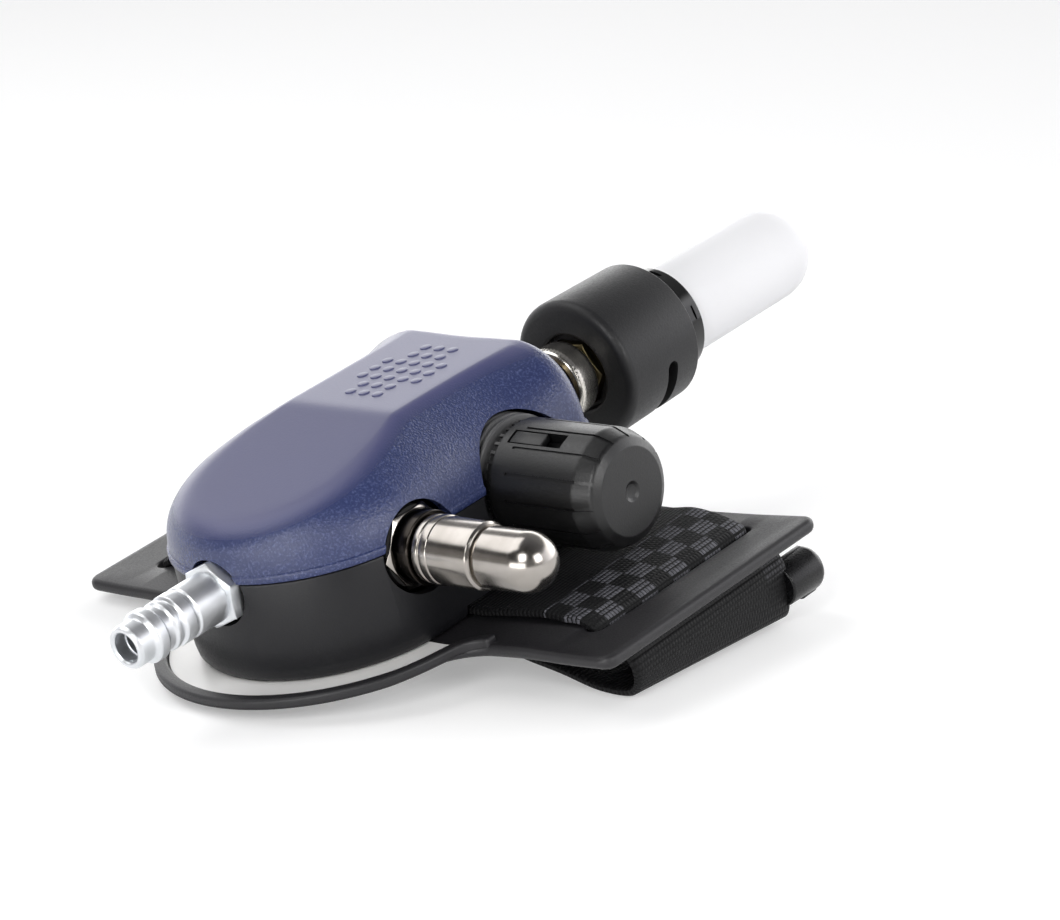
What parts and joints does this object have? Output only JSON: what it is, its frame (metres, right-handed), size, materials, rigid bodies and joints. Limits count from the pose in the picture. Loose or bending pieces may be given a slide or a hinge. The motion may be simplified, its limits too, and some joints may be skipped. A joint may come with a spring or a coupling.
{
  "type": "belt-worn compressed-air control valve",
  "caption": "Compressed-air control valve on a belt plate: quick-connect inlet nipple, turning flow knob, warning whistle, bayonet outlet cup with a white silencer, webbing strap.",
  "frame": {"origin": "on the belt plate underside, where the strap centreline crosses the plane of the inlet-outlet axis", "axes": "+X along the belt towards the knob and the whistle, +Y from the inlet nipple to the outlet and its silencer, +Z out of the plate towards the blue cover"},
  "size_m": [0.153, 0.221, 0.062],
  "materials": {
    "plate_black": "moulded, fine satin",
    "label_white": "printed film, bare",
    "webbing_black": "woven polyester",
    "plastic_black": "satin",
    "base_black": "satin",
    "cover_blue": "fine spark-eroded grain",
    "steel": "machined",
    "anodised_black": "black anodised",
    "zinc": "bright zinc plated, turned",
    "rubber_black": "matte",
    "bronze": "sintered",
    "white_plastic": "moulded",
    "brass": "turned",
    "grey_plastic": "satin",
    "knob_black": "satin moulded",
    "nickel": "polished nickel plated",
    "cup_black": "matte moulded",
    "gloss_black": "glossy moulded",
    "silencer_white": "sintered porous polyethylene"
  },
  "bodies": {
    "valve": {"belt_plate": "plate_black", "plate_label": "label_white", "webbing_strap": "webbing_black", "base_cover": "base_black", "top_cover": "cover_blue", "cover_screws": "steel", "plate_screws": "steel", "valve_block": "anodised_black", "block_screws": "steel", "inlet_nipple": "zinc", "nipple_seal": "rubber_black", "inlet_strainer": "bronze", "check_spring": "steel", "check_retainer": "brass", "needle_seat": "brass", "spindle_gland": "brass", "gland_seal": "rubber_black", "knob_ring": "grey_plastic", "whistle_body": "nickel", "whistle_washer": "rubber_black", "whistle_spring": "steel", "whistle_cap": "nickel", "outlet_tailpiece": "brass", "tailpiece_seal": "rubber_black", "spindle_seals": "rubber_black"},
    "hook": {"belt_hook": "plastic_black"},
    "knob": {"control_knob": "knob_black", "control_spindle": "steel", "knob_screw": "steel"},
    "latch": {"knob_latch": "knob_black"},
    "needle": {"metering_needle": "steel"},
    "check": {"check_poppet": "white_plastic"},
    "shuttle": {"whistle_shuttle": "brass"},
    "nut": {"union_nut": "nickel"},
    "outlet": {"outlet_cup": "cup_black", "outlet_stem": "brass", "cup_seal": "rubber_black"},
    "silencer": {"silencer_collar": "gloss_black", "collar_seal": "rubber_black", "silencer_tube": "silencer_white"}
  },
  "joints": [
    {"name": "knob_turn", "type": "hinge", "parent": "valve", "child": "knob", "pos_m": [0.04, 0, 0.0235], "axis": [1, 0, 0], "range_deg": [0, 270]},
    {"name": "latch_press", "type": "slide", "parent": "knob", "child": "latch", "axis": [0, 0.3584, -0.9336], "range_m": [0, 0.0008], "stiffness_N_per_m": 800},
    {"name": "needle_feed", "type": "slide", "parent": "valve", "child": "needle", "axis": [1, 0, 0], "range_m": [0, 0.0015]},
    {"name": "check_lift", "type": "slide", "parent": "valve", "child": "check", "axis": [0, 1, 0], "range_m": [0, 0.0015], "stiffness_N_per_m": 300, "deforming": ["check_spring"]},
    {"name": "shuttle_slide", "type": "slide", "parent": "valve", "child": "shuttle", "axis": [1, 0, 0], "range_m": [0, 0.002], "stiffness_N_per_m": 300, "deforming": ["whistle_spring"]},
    {"name": "nut_turn", "type": "hinge", "parent": "valve", "child": "nut", "pos_m": [0, 0.048, 0.0235], "axis": [0, 1, 0], "continuous": true},
    {"name": "outlet_swivel", "type": "hinge", "parent": "valve", "child": "outlet", "pos_m": [0, 0.06, 0.0235], "axis": [0, 1, 0], "continuous": true},
    {"name": "silencer_twist", "type": "hinge", "parent": "outlet", "child": "silencer", "pos_m": [0, 0.07, 0.0235], "axis": [0, 1, 0], "range_deg": [0, 30]},
    {"name": "hook_slide", "type": "slide", "parent": "valve", "child": "hook", "axis": [0, 0.9965, -0.0837], "range_m": [0, 0.03]}
  ],
  "couplings": [
    {"joint": "needle_feed", "follows": "knob_turn", "m_per_rad": 0.00031831}
  ]
}
